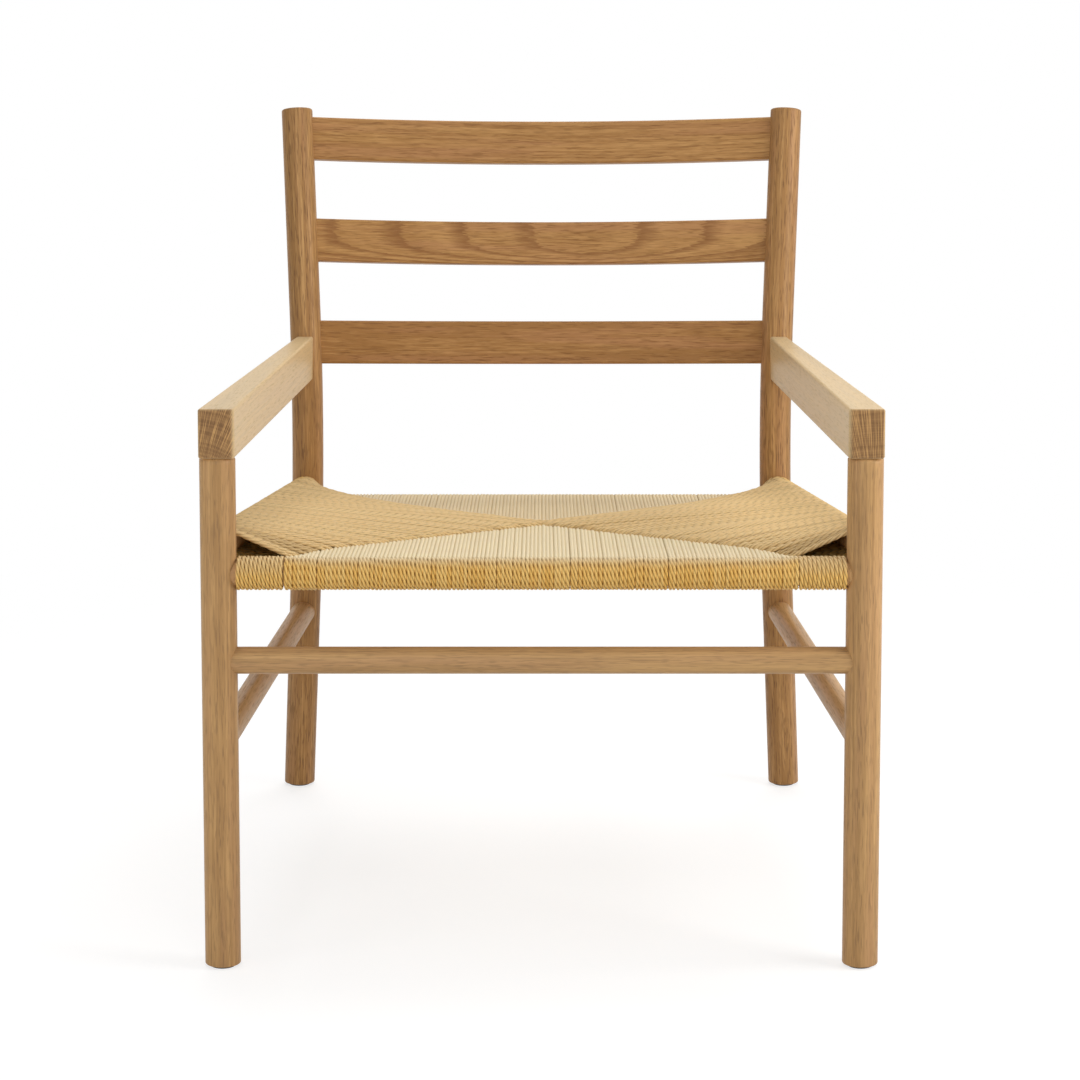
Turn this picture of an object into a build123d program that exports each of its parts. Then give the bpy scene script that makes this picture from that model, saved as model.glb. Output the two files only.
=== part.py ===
"""Wooden armchair with a woven cord seat, in millimetres.

+Z is up and the front faces -Y. The origin is on the floor, in the middle of the chair's box.
Left is -X, as the chair is seen from the front.
"""

import os
from math import asin, atan2, cos, degrees, radians, sin, sqrt, tan

from build123d import *

# Overall sizes
overall_width = 680.0
overall_depth = 695.0
overall_height = 825.0

# Front legs and foot glides
leg_d = 36.0
leg_shoulder_chamfer = 1.5
foot_round = 1.5
glide_d = 26.0
glide_h = 2.5
glide_edge = 0.8
glide_pin_d = 3.0
glide_pin_length = 16.0

# Rear posts, each a round bar bent in one upright plane that is turned outwards by the splay
post_d = 36.0
post_top_round = 2.5
waist_width = 544.0
waist_z = 453.0
bend_radius = 590.0
rear_rake = 16.0
back_recline = 14.0
post_splay = 11.5

# Arms, flat boards on edge
arm_top_z = 572.0
arm_fall = 10.0
arm_thickness = 50.0
arm_front_width = 36.0
arm_rear_width = 19.0
arm_inner_round = 5.0
arm_outer_round = 3.5
arm_edge_round = 2.5

# Back slats, bowed backwards between the posts, the top one set below the chair's own top
slat_count = 3
top_slat_below = 38.0
slat_pitch = 116.5
slat_height = 50.0
slat_thickness = 16.0
slat_bow = 38.0
slat_edge_round = 2.5

# Seat rails and stretchers, all round bars
rail_d = 26.0
front_rail_z = 404.0
rear_rail_z = 357.0
side_rail_front_z = 432.0
side_rail_rear_z = 381.0
stretcher_d = 27.0
front_stretcher_z = 315.0
rear_stretcher_z = 315.0
side_stretcher_z = 230.0

# Joinery
bar_tenon_d = 16.0
bar_tenon_depth = 24.0
leg_tenon_d = 22.0
leg_tenon_length = 30.0
slat_housing = 12.0
arm_tenon_thickness = 8.0
arm_tenon_height = 34.0
arm_tenon_in_arm = 26.0
arm_tenon_in_post = 14.0
glue_gap = 0.1

# Woven seat
cord_d = 4.0
corner_wraps = 11
wrap_pitch = 4.4
seat_centre_share = 0.485
seat_core = 16.0
weave_gap = 0.3

leg_x = (overall_width - max(leg_d, arm_front_width)) / 2
leg_y = (leg_d - overall_depth) / 2
rake = radians(rear_rake)
recline = radians(back_recline)
splay = radians(post_splay)
bend_low_z = waist_z - bend_radius * sin(rake)
bend_high_z = waist_z + bend_radius * sin(recline)
post_top_z = overall_height - post_d / 2 * sin(recline)
wrap_r = rail_d / 2 + cord_d
sides = {"left": -1, "right": 1}


def post_offset(z):
    """How far the post's axis lies behind its waist at height z, measured in the post's own plane."""
    if z < bend_low_z:
        return bend_radius * (1 - cos(rake)) + (bend_low_z - z) * tan(rake)
    if z > bend_high_z:
        return bend_radius * (1 - cos(recline)) + (z - bend_high_z) * tan(recline)
    return bend_radius - sqrt(bend_radius**2 - (z - waist_z) ** 2)


foot_half_depth = post_d / 2 * sqrt(1 + (tan(rake) * cos(splay)) ** 2)
waist_y = overall_depth / 2 - foot_half_depth - post_offset(glide_h) * cos(splay)


def at_leg(side, z):
    """A point on a front leg's axis."""
    return Vector(side * leg_x, leg_y, z)


def at_post(side, z):
    """A point on a rear post's axis."""
    offset = post_offset(z)
    return Vector(side * (waist_width / 2 + offset * sin(splay)), waist_y + offset * cos(splay), z)


def tenon_past(end):
    """How far a bar's tenon runs past the axis of the upright that it ends on."""
    upright_d = leg_d if end.Y < 0 else post_d
    return bar_tenon_depth - upright_d / 2


# Every round bar runs from one upright's axis to another's
bars = {
    "seat_rail_front": (at_leg(-1, front_rail_z), at_leg(1, front_rail_z), rail_d),
    "seat_rail_rear": (at_post(-1, rear_rail_z), at_post(1, rear_rail_z), rail_d),
    "stretcher_front": (at_leg(-1, front_stretcher_z), at_leg(1, front_stretcher_z), stretcher_d),
    "stretcher_rear": (at_post(-1, rear_stretcher_z), at_post(1, rear_stretcher_z), stretcher_d),
}
for name, side in sides.items():
    rail_ends = at_leg(side, side_rail_front_z), at_post(side, side_rail_rear_z)
    bars[f"seat_rail_{name}"] = (*rail_ends, rail_d)
    stretcher_ends = at_leg(side, side_stretcher_z), at_post(side, side_stretcher_z)
    bars[f"stretcher_{name}"] = (*stretcher_ends, stretcher_d)

# The arm's top lies in a plane that falls gently towards the back
arm_run = at_post(1, arm_top_z - arm_thickness / 2).Y - leg_y
arm_tilt = atan2(arm_fall, arm_run)
arm_plane = Plane(
    origin=(0, leg_y, arm_top_z), x_dir=(1, 0, 0), z_dir=(0, sin(arm_tilt), cos(arm_tilt))
)
arm_up = Axis(arm_plane.origin, arm_plane.z_dir)
arm_underside = arm_plane.offset(-arm_thickness)
arm_rear_z = arm_top_z - arm_fall - arm_thickness / 2


def rod(start, end, diameter):
    """A plain round bar from start to end."""
    run = end - start
    with BuildPart() as bar:
        with BuildSketch(Plane(origin=start, z_dir=run)):
            Circle(diameter / 2)
        extrude(amount=run.length)
    return bar.part


def bent_post(side, diameter):
    """A rear post's bent bar, cut level at its foot and square at its top."""
    plane = Plane(
        origin=(side * waist_width / 2, waist_y, 0),
        x_dir=(side * sin(splay), cos(splay), 0),
        z_dir=(cos(splay), -side * sin(splay), 0),
    )
    below_floor = -post_d
    with BuildPart() as post:
        with BuildLine(plane) as path:
            Line((post_offset(below_floor), below_floor), (post_offset(bend_low_z), bend_low_z))
            ThreePointArc(
                (post_offset(bend_low_z), bend_low_z),
                (0, waist_z),
                (post_offset(bend_high_z), bend_high_z),
            )
            Line((post_offset(bend_high_z), bend_high_z), (post_offset(post_top_z), post_top_z))
        with BuildSketch(Plane(origin=path.line @ 0, z_dir=path.line % 0)):
            Circle(diameter / 2)
        sweep()
        split(bisect_by=Plane.XY.offset(glide_h), keep=Keep.TOP)
    return post.part


def bar_sockets(foot):
    """The bores for every bar that ends on the upright whose axis starts at foot."""
    sockets = []
    for start, end, _ in bars.values():
        axis = (end - start).normalized()
        for near, inwards in ((start, axis), (end, -axis)):
            same_side = near.X * foot.X > 0
            same_row = (near.Y < 0) == (foot.Y < 0)
            if same_side and same_row:
                deep = near - inwards * (tenon_past(near) + glue_gap)
                clear = near + inwards * max(leg_d, post_d)
                sockets.append(rod(deep, clear, bar_tenon_d + 2 * glue_gap))
    return sockets


def glide_hole(foot):
    """The pilot hole for a glide's pin."""
    return rod(foot, foot + Vector(0, 0, glide_pin_length + glue_gap), glide_pin_d + 2 * glue_gap)


def slat_solid(index, gap=0.0):
    """A bowed slat, made larger all round by gap when it cuts its own housings."""
    z = overall_height - top_slat_below - index * slat_pitch
    middle = at_post(1, z)
    lean = recline if z > bend_high_z else asin((z - waist_z) / bend_radius)
    plane = Plane(
        origin=(0, middle.Y, z),
        x_dir=(1, 0, 0),
        z_dir=(0, sin(lean) * cos(splay), cos(lean)),
    )
    half_span = middle.X - post_d / 2 + slat_housing + gap
    radius = (middle.X**2 + slat_bow**2) / (2 * slat_bow)
    half_turn = degrees(asin(half_span / radius))
    with BuildPart() as slat:
        with BuildLine(plane) as path:
            CenterArc((0, slat_bow - radius), radius, 90 - half_turn, 2 * half_turn)
        with BuildSketch(Plane(origin=path.line @ 0, x_dir=plane.z_dir, z_dir=path.line % 0)):
            RectangleRounded(slat_height + 2 * gap, slat_thickness + 2 * gap, slat_edge_round + gap)
        sweep()
    return slat.part


def from_middle(edge):
    """How far an edge lies to the side of the chair's middle."""
    return abs(edge.center().X)


def arm_tenon_solid(side, gap=0.0):
    """The loose tenon between an arm and its post, made larger all round by gap for its mortises."""
    centre = at_post(side, arm_rear_z)
    surface_y = centre.Y - post_d / 2
    length = arm_tenon_in_arm + arm_tenon_in_post + 2 * gap
    middle_y = surface_y + (arm_tenon_in_post - arm_tenon_in_arm) / 2
    with BuildPart(Plane(origin=(centre.X, middle_y, centre.Z))) as tenon:
        Box(arm_tenon_thickness + 2 * gap, length, arm_tenon_height + 2 * gap)
        rounded = tenon.edges().filter_by(Axis.Y)
        fillet(rounded, arm_tenon_thickness / 2 - glue_gap)
    return tenon.part


os.makedirs("parts", exist_ok=True)


def finish(part, label):
    """Label a finished piece and write it."""
    part.label = label
    export_step(part, f"parts/{label}.step")


slats = [slat_solid(index) for index in range(slat_count)]
slat_housings = [slat_solid(index, glue_gap) for index in range(slat_count)]
clear_uprights = []
feet = {}

# Front legs
for name, side in sides.items():
    foot = at_leg(side, glide_h)
    feet[f"front_{name}"] = foot
    clear_uprights.append(rod(foot, at_leg(side, overall_height), leg_d + 2 * glue_gap))
    with BuildPart() as front_leg:
        add(rod(foot, at_leg(side, arm_top_z), leg_d))
        split(bisect_by=arm_underside, keep=Keep.BOTTOM)
        chamfer(front_leg.edges().sort_by(Axis.Z)[-1], leg_shoulder_chamfer)
        fillet(front_leg.edges().sort_by(Axis.Z)[0], foot_round)
        shoulder = at_leg(side, arm_top_z - arm_thickness)
        half_tenon = Vector(0, 0, leg_tenon_length)
        add(rod(shoulder - half_tenon, shoulder + half_tenon, leg_tenon_d))
        for socket in bar_sockets(foot):
            add(socket, mode=Mode.SUBTRACT)
        add(glide_hole(foot), mode=Mode.SUBTRACT)
    finish(front_leg.part, f"front_leg_{name}")

# Rear posts
for name, side in sides.items():
    foot = at_post(side, glide_h)
    feet[f"rear_{name}"] = foot
    clear_uprights.append(bent_post(side, post_d + 2 * glue_gap))
    with BuildPart() as rear_post:
        add(bent_post(side, post_d))
        fillet(rear_post.edges().sort_by(Axis.Z)[-1], post_top_round)
        fillet(rear_post.edges().sort_by(Axis.Z)[0], foot_round)
        for socket in bar_sockets(foot):
            add(socket, mode=Mode.SUBTRACT)
        for housing in slat_housings:
            add(housing, mode=Mode.SUBTRACT)
        add(arm_tenon_solid(side, glue_gap), mode=Mode.SUBTRACT)
        add(glide_hole(foot), mode=Mode.SUBTRACT)
    finish(rear_post.part, f"rear_post_{name}")

# Arms, hollowed at the rear to sit against the round posts
for name, side in sides.items():
    rear = at_post(side, arm_rear_z)
    front_edge = arm_thickness * sin(arm_tilt) - leg_d / 2
    rear_edge = (rear.Y - leg_y) / cos(arm_tilt)
    with BuildPart() as arm:
        with BuildSketch(arm_plane):
            with BuildLine():
                Polyline(
                    (side * (leg_x - arm_front_width / 2), front_edge),
                    (side * (leg_x + arm_front_width / 2), front_edge),
                    (rear.X + side * arm_rear_width / 2, rear_edge),
                    (rear.X - side * arm_rear_width / 2, rear_edge),
                    close=True,
                )
            make_face()
        extrude(amount=-arm_thickness)
        inner_edge, outer_edge = arm.edges().filter_by(arm_up).sort_by(Axis.Y)[:2].sort_by(from_middle)
        fillet(inner_edge, arm_inner_round)
        fillet(outer_edge, arm_outer_round)
        fillet(arm.faces().filter_by(arm_up).edges(), arm_edge_round)
        add(bent_post(side, post_d + 2 * glue_gap), mode=Mode.SUBTRACT)
        shoulder = at_leg(side, arm_top_z - arm_thickness)
        bore_end = shoulder + Vector(0, 0, leg_tenon_length + glue_gap)
        add(rod(shoulder - Vector(0, 0, leg_d), bore_end, leg_tenon_d + 2 * glue_gap), mode=Mode.SUBTRACT)
        add(arm_tenon_solid(side, glue_gap), mode=Mode.SUBTRACT)
    finish(arm.part, f"arm_{name}")
    finish(arm_tenon_solid(side), f"arm_tenon_{name}")

# Back slats
for slat, label in zip(slats, ("slat_top", "slat_middle", "slat_bottom")):
    finish(slat, label)

# Seat rails and stretchers, coped to the round uprights and tenoned into them
for label, (start, end, diameter) in bars.items():
    axis = (end - start).normalized()
    with BuildPart() as bar:
        add(rod(start, end, diameter))
        for upright in clear_uprights:
            add(upright, mode=Mode.SUBTRACT)
        add(rod(start - axis * tenon_past(start), end + axis * tenon_past(end), bar_tenon_d))
    finish(bar.part, label)

# Foot glides, thin discs with a pin
for name, foot in feet.items():
    with BuildPart() as glide:
        with BuildSketch(Plane(origin=(foot.X, foot.Y, 0))):
            Circle(glide_d / 2)
        extrude(amount=glide_h)
        fillet(glide.edges().group_by(Axis.Z)[0], glide_edge)
        add(rod(foot - Vector(0, 0, glide_h / 2), foot + Vector(0, 0, glide_pin_length), glide_pin_d))
    finish(glide.part, f"glide_{name}")

# Woven seat: four wedges of cord that meet along the diagonals, each wrapped round its own rail
front_weave_x = leg_x - leg_d / 2 - corner_wraps * wrap_pitch
front_weave_y = leg_y + leg_d / 2 + cord_d / 2
rear_start = at_post(1, rear_rail_z)
rear_weave_x = rear_start.X - post_d / 2 - cord_d / 2
rear_weave_y = rear_start.Y - post_d / 2 - cord_d / 2
centre_y = leg_y + seat_centre_share * (rear_start.Y - leg_y)
rear_share = (rear_start.Y - centre_y) / (rear_start.Y - leg_y)
centre_z = rear_rail_z + wrap_r + (front_rail_z - rear_rail_z) * rear_share


def side_rail_point(side, y):
    """The point of a side rail's axis at depth y."""
    start, end, _ = bars["seat_rail_left" if side < 0 else "seat_rail_right"]
    return start + (end - start) * ((y - start.Y) / (end.Y - start.Y))


def level(x, y, top, bottom):
    """An upright pair of points, the top and the bottom of a wedge at one place."""
    return [(x, y, top), (x, y, bottom)]


def rail_pair(side, y):
    """The top and the bottom of the cord round a side rail at depth y."""
    middle = side_rail_point(side, y)
    return level(middle.X, middle.Y, middle.Z + wrap_r, middle.Z - wrap_r)


front_levels = front_rail_z + wrap_r, front_rail_z - wrap_r
rear_levels = rear_rail_z + wrap_r, rear_rail_z - wrap_r
centre_pair = level(0, centre_y, centre_z, centre_z - seat_core)
wedges = {"front": [[*centre_pair]], "rear": [[*centre_pair]]}
for side in sides.values():
    for y in (leg_y, front_weave_y):
        wedges["front"][0] += level(side * front_weave_x, y, *front_levels)
    for y in (rear_start.Y, rear_weave_y):
        wedges["rear"][0] += level(side * rear_weave_x, y, *rear_levels)
for name, side in sides.items():
    front_corner = level(side * front_weave_x, front_weave_y, front_levels[0] + cord_d, front_levels[1])
    rear_corner = level(side * rear_weave_x, rear_weave_y, rear_levels[0] + cord_d, rear_levels[1])
    middle = centre_pair + rail_pair(side, centre_y)
    wedges[name] = [
        middle + front_corner + rail_pair(side, front_weave_y),
        middle + rear_corner + rail_pair(side, rear_weave_y),
    ]
outwards = {"front": (0, -1), "rear": (0, 1), "left": (-1, 0), "right": (1, 0)}
for name, halves in wedges.items():
    start, end, diameter = bars[f"seat_rail_{name}"]
    away_x, away_y = outwards[name]
    with BuildPart() as weave:
        for points in halves:
            ConvexPolyhedron([(x + away_x * weave_gap, y + away_y * weave_gap, z) for x, y, z in points])
        add(rod(start, end, 2 * wrap_r))
        add(rod(start, end, diameter + 2 * weave_gap), mode=Mode.SUBTRACT)
        for upright in clear_uprights:
            add(upright, mode=Mode.SUBTRACT)
    finish(weave.part, f"seat_weave_{name}")
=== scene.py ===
"""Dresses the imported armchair: oiled oak, a seat woven from twisted paper cord, and a plain studio.

Lengths are in metres, +Z is up and the front faces -Y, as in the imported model. Left is -X.
"""

import math

import bpy
import numpy as np
from bpy.props import FloatProperty, FloatVectorProperty, IntProperty, PointerProperty
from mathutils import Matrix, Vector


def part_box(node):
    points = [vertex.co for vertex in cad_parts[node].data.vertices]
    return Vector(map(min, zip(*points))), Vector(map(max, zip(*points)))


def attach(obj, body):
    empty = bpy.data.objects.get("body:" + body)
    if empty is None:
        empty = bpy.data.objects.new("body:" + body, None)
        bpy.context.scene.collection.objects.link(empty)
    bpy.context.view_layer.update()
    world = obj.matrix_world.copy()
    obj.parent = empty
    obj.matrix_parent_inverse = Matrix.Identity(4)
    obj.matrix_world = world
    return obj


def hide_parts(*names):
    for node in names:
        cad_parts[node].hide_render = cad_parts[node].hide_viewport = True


bl_info = {
    "name": "Woven-seat armchair",
    "version": (1, 0, 0),
    "blender": (4, 5, 0),
    "location": "View3D > Sidebar > Armchair",
    "description": "Dresses the packed armchair with oiled oak, a woven cord seat and a plain studio",
    "category": "Add Mesh",
}

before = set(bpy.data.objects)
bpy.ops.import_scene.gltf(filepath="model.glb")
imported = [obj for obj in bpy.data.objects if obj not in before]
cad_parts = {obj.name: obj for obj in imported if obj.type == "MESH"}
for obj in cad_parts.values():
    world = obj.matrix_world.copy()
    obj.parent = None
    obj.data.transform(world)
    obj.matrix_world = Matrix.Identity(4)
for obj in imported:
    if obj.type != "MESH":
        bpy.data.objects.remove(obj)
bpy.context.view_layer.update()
SIDES = {"left": -1, "right": 1}
SIDEWAYS, BACKWARDS, UPRIGHT = np.eye(3)
WHOLE_TURN = 2 * math.pi
WHITE = (1.0, 1.0, 1.0)
ROUND_POINTS = 56
BAR_POINTS = 40
BAR_RINGS = 24
LEG_RINGS = 30
RAKED_RINGS = 10
BENT_RINGS = 60
ARM_RINGS = 20
SLAT_RINGS = 72


def node_box(node):
    """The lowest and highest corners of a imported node, as arrays."""
    low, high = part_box(node)
    return np.array(low), np.array(high)


def level_and_radius(bar):
    """The height of a packed round bar's middle, and half of the height that it takes up."""
    low, high = node_box(bar)
    return (low[2] + high[2]) / 2, (high[2] - low[2]) / 2


LEG_LOW, LEG_HIGH = node_box("front_leg_right")
POST_LOW, POST_HIGH = node_box("rear_post_right")
ARM_LOW, ARM_HIGH = node_box("arm_right")
LEG_RADIUS = (LEG_HIGH[0] - LEG_LOW[0]) / 2
FRONT_RAIL_LEVEL, RAIL_RADIUS = level_and_radius("seat_rail_front")
REAR_RAIL_LEVEL, _ = level_and_radius("seat_rail_rear")
FRONT_STRETCHER_LEVEL, STRETCHER_RADIUS = level_and_radius("stretcher_front")
REAR_STRETCHER_LEVEL, _ = level_and_radius("stretcher_rear")
SIDE_STRETCHER_LEVEL, _ = level_and_radius("stretcher_right")


def size(name, description, default, measure="LENGTH"):
    """A number property, a length unless another unit is given."""
    return FloatProperty(name=name, description=description, default=default, unit=measure, precision=5)


def angle(name, description, degrees):
    """An angle property, written in degrees."""
    return size(name, description, math.radians(degrees), "ROTATION")


def share(name, description, default):
    """A number property without a unit."""
    return size(name, description, default, "NONE")


def power(name, description, default):
    """A lamp's power property."""
    return size(name, description, default, "POWER")


def count(name, description, default):
    """A whole number property."""
    return IntProperty(name=name, description=description, default=default)


def colour(name, description, default):
    """A linear colour property."""
    return FloatVectorProperty(
        name=name, description=description, default=default, subtype="COLOR", size=3, min=0, max=1
    )


class FrameSizes(bpy.types.PropertyGroup):
    """Sizes of the oak frame."""

    foot_round: size("Foot rounding", "Radius at the foot of every leg", 0.0015)
    shoulder_chamfer: size("Shoulder chamfer", "Chamfer under the arm", 0.0026)
    post_top_round: size("Post top rounding", "Radius at the top of the rear posts", 0.0025)
    waist_height: size("Waist height", "Height where the rear posts stand furthest forward", 0.453)
    bend_radius: size("Bend radius", "Radius of the rear posts' bend", 0.590)
    rear_rake: angle("Rear rake", "Slope of the rear posts below the bend", 16)
    back_recline: angle("Back recline", "Slope of the rear posts above the bend", 14)
    post_splay: angle("Post splay", "Turn of the rear posts' upright planes", 11.5)
    arm_height: size("Arm height", "Height of an arm's section", 0.050)
    arm_rear_width: size("Arm rear width", "Width of an arm at its post", 0.019)
    arm_inner_round: size("Arm inner rounding", "Radius of an arm's inner front edge", 0.005)
    arm_outer_round: size("Arm outer rounding", "Radius of an arm's outer front edge", 0.0035)
    arm_edge_round: size("Arm edge rounding", "Radius of an arm's long edges", 0.0025)
    arm_rear_ease: size("Arm rear ease", "Radius under an arm's rear end", 0.005)
    slat_top_height: size("Top slat height", "Height of the top slat's middle at the posts", 0.787)
    slat_pitch: size("Slat pitch", "Height from one slat to the next", 0.1165)
    slat_height: size("Slat height", "Height of a slat", 0.050)
    slat_thickness: size("Slat thickness", "Thickness of a slat", 0.016)
    slat_bow: size("Slat bow", "How far a slat bows backwards", 0.038)
    slat_edge_round: size("Slat edge rounding", "Radius of a slat's long edges", 0.0025)
    side_rail_front: size("Side rail front", "Height of a side rail at the front leg", 0.432)
    side_rail_rear: size("Side rail rear", "Height of a side rail at the rear post", 0.381)


class SeatSizes(bpy.types.PropertyGroup):
    """Sizes of the woven seat."""

    cord_radius: size("Cord radius", "Outer radius of the three-ply cord", 0.0025)
    cord_bed: size("Cord bed", "Height of a cord's middle over the rail it wraps", 0.0019)
    cord_lay: size("Cord lay", "Length in which the plies turn once", 0.027)
    groove: share("Groove", "Groove radius as a share of the cord's", 0.66)
    shoulder: share("Shoulder", "Radius at a ply's side as a share of the cord's", 0.82)
    groove_turn: angle("Groove turn", "Turn from a groove to the ply's shoulder", 27)
    phase_step: angle("Phase step", "Usual turn of the twist from one strand to the next", 57)
    phase_scatter: angle("Phase scatter", "Hand-made scatter of that turn", 10)
    side_scatter: angle("Side scatter", "That scatter in the side panels", 70)
    ring_step: size("Ring step", "Distance between rings of a cord's mesh", 0.0028)
    under_step: size("Underside step", "Distance between rings below the seat", 0.0054)
    strands: count("Strands", "Strands in half a panel", 63)
    corner_wraps: count("Corner wraps", "Plain wraps by each front leg", 11)
    wrap_pitch: size("Wrap pitch", "Width of one plain wrap", 0.0044)
    gap_every: count("Gap every", "Strands from one wider gap to the next", 4)
    gap_share: share("Gap share", "Width of such a gap as a share of a strand", 0.42)
    left_gap: size("Left gap", "Gap between the left plain wraps and the weave", 0.0013)
    right_gap: size("Right gap", "Gap between the right plain wraps and the weave", 0.0003)
    clearance: size("Clearance", "Gap between the outer strands and the uprights", 0.002)
    centre_share: share("Centre share", "Place of the weave's centre from front to rear", 0.485)
    core: size("Core", "Distance between the upper and the lower layer at the centre", 0.012)
    cross_rise: size("Crossing rise", "How far the side strands ride over the others", 0.0031)
    dip_run: size("Dip run", "Length in which a strand's end dips under the next", 0.0075)
    dip_depth: size("Dip depth", "How far a strand's end dips", 0.0058)
    unevenness: size("Unevenness", "Hand-made scatter of the strands", 0.0002)
    # Painted sheen: the pale top of the cord fades out over this turn round each rail
    painted_sheen_turn: angle("Bleach turn", "Turn round the rail in which the bleached top fades", 75)
    side_rise: size("Side rise", "Hand-made scatter of the side strands' heights", 0.0003)
    side_sink: size("Side sink", "How far a side strand lies lower at a wider gap", 0.0015)
    corner_sink: size("Corner sink", "How far the front corners lie below the rail's top", 0.007)
    corner_share: share("Corner share", "Share of a diagonal in which that sink ends", 0.2)
    # Painted sheen: how far each panel's upper run and the wraps' tops are painted pale, for the sheen of
    # cord on top
    front_painted_sheen: share("Front bleach", "How bleached the front panel's top is", 1.0)
    rear_painted_sheen: share("Rear bleach", "How bleached the rear panel's top is", 0.85)
    side_painted_sheen: share("Side bleach", "How bleached the side panels' tops are", 0.45)
    wrap_painted_sheen: share("Wrap bleach", "How bleached the plain wraps' tops are", 0.5)


class Finishes(bpy.types.PropertyGroup):
    """Colours of the finishes."""

    oak_pale: colour("Pale oak", "Late wood", (0.555, 0.307, 0.114))
    oak_deep: colour("Deep oak", "Early wood and streaks", (0.36, 0.177, 0.057))
    oak_band: colour("Oak bands", "Early wood of the arched board", (0.26, 0.112, 0.038))
    oak_blush: colour("Oak blush", "Pinkish patches", (0.475, 0.232, 0.110))
    oak_pore: colour("Oak pores", "Open pores", (0.21, 0.096, 0.035))
    oak_end: colour("Oak end", "End grain", (0.165, 0.074, 0.028))
    # Paler oak blended over the arms, where it also paints the sheen of their tops and inner faces; legs,
    # stretchers, posts and seat rails take a little
    oak_light: colour("Light oak", "Paler boards of the arms", (0.85, 0.69, 0.41))
    beech: colour("Beech", "Hidden loose tenons", (0.62, 0.43, 0.27))
    cord_pale: colour("Pale cord", "Crests of the paper cord", (0.88, 0.60, 0.215))
    cord_gold: colour("Golden cord", "Turned sides of the paper cord", (0.78, 0.455, 0.110))
    # Painted sheen: a pale colour painted on cord that lies on top of the seat, in place of the sheen it
    # shows there
    cord_painted_sheen: colour("Bleached cord", "Cord that lies on top of the seat", (0.87, 0.74, 0.49))
    # Painted shade: a dark colour mixed into the plies' grooves, into half-pale cord and into sunken
    # strands
    cord_painted_shade: colour("Cord groove", "Between the plies", (0.22, 0.10, 0.018))
    nylon: colour("Nylon", "Foot glides", (0.02, 0.02, 0.021))
    scuff: colour("Scuffed nylon", "Scuffs on the foot glides", (0.09, 0.09, 0.09))
    floor: colour("Floor", "Studio floor", (0.80, 0.80, 0.80))
    shade: colour("Shaded floor", "What the floor shows of the lamps and the shadow", (0.40, 0.40, 0.40))


class StudioSetup(bpy.types.PropertyGroup):
    """Camera and lamps."""

    focal: size("Focal length", "Camera lens", 108.8, "CAMERA")
    camera_run: size("Camera run", "Distance of the camera in front of the front legs", 3.1935)
    camera_height: size("Camera height", "Height of the camera", 1.1049)
    camera_pitch: angle("Camera pitch", "How far the camera looks down", 6.886)
    camera_rise: share("Camera rise", "Upright shift of the frame", -0.2602)
    camera_slide: share("Camera slide", "Level shift of the frame", -0.0014)
    key_power: power("Key power", "Lamp close to the right", 15)
    fill_power: power("Fill power", "High lamp at the front", 11.5)
    top_power: power("Top power", "Lamp overhead, behind the back", 35)
    side_power: power("Side power", "Weak low lamp at the left", 2)
    dome: share("Dome", "Strength of the surrounding light", 0.32)
    floor_lift: share("Floor lift", "Light that the floor near the chair adds to what it shows", 0.71)
    floor_near: size("Floor near", "Distance at which the floor starts to turn white", 0.6)
    floor_far: size("Floor far", "Distance at which the floor is all white", 1.7)


def settings(name):
    """One of the scene's property groups."""
    return getattr(bpy.context.scene, "armchair_" + name)


class Signal:
    """A shader socket that takes part in arithmetic: each operator adds a Math node to its finish."""

    def __init__(self, finish, socket):
        self.finish = finish
        self.socket = socket

    def __add__(self, other):
        return self.finish.math("ADD", self, other)

    def __sub__(self, other):
        return self.finish.math("SUBTRACT", self, other)

    def __rsub__(self, other):
        return self.finish.math("SUBTRACT", other, self)

    def __mul__(self, other):
        return self.finish.math("MULTIPLY", self, other)

    def __truediv__(self, other):
        return self.finish.math("DIVIDE", self, other)

    def __pow__(self, other):
        return self.finish.math("POWER", self, other)

    __radd__ = __add__
    __rmul__ = __mul__


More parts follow.
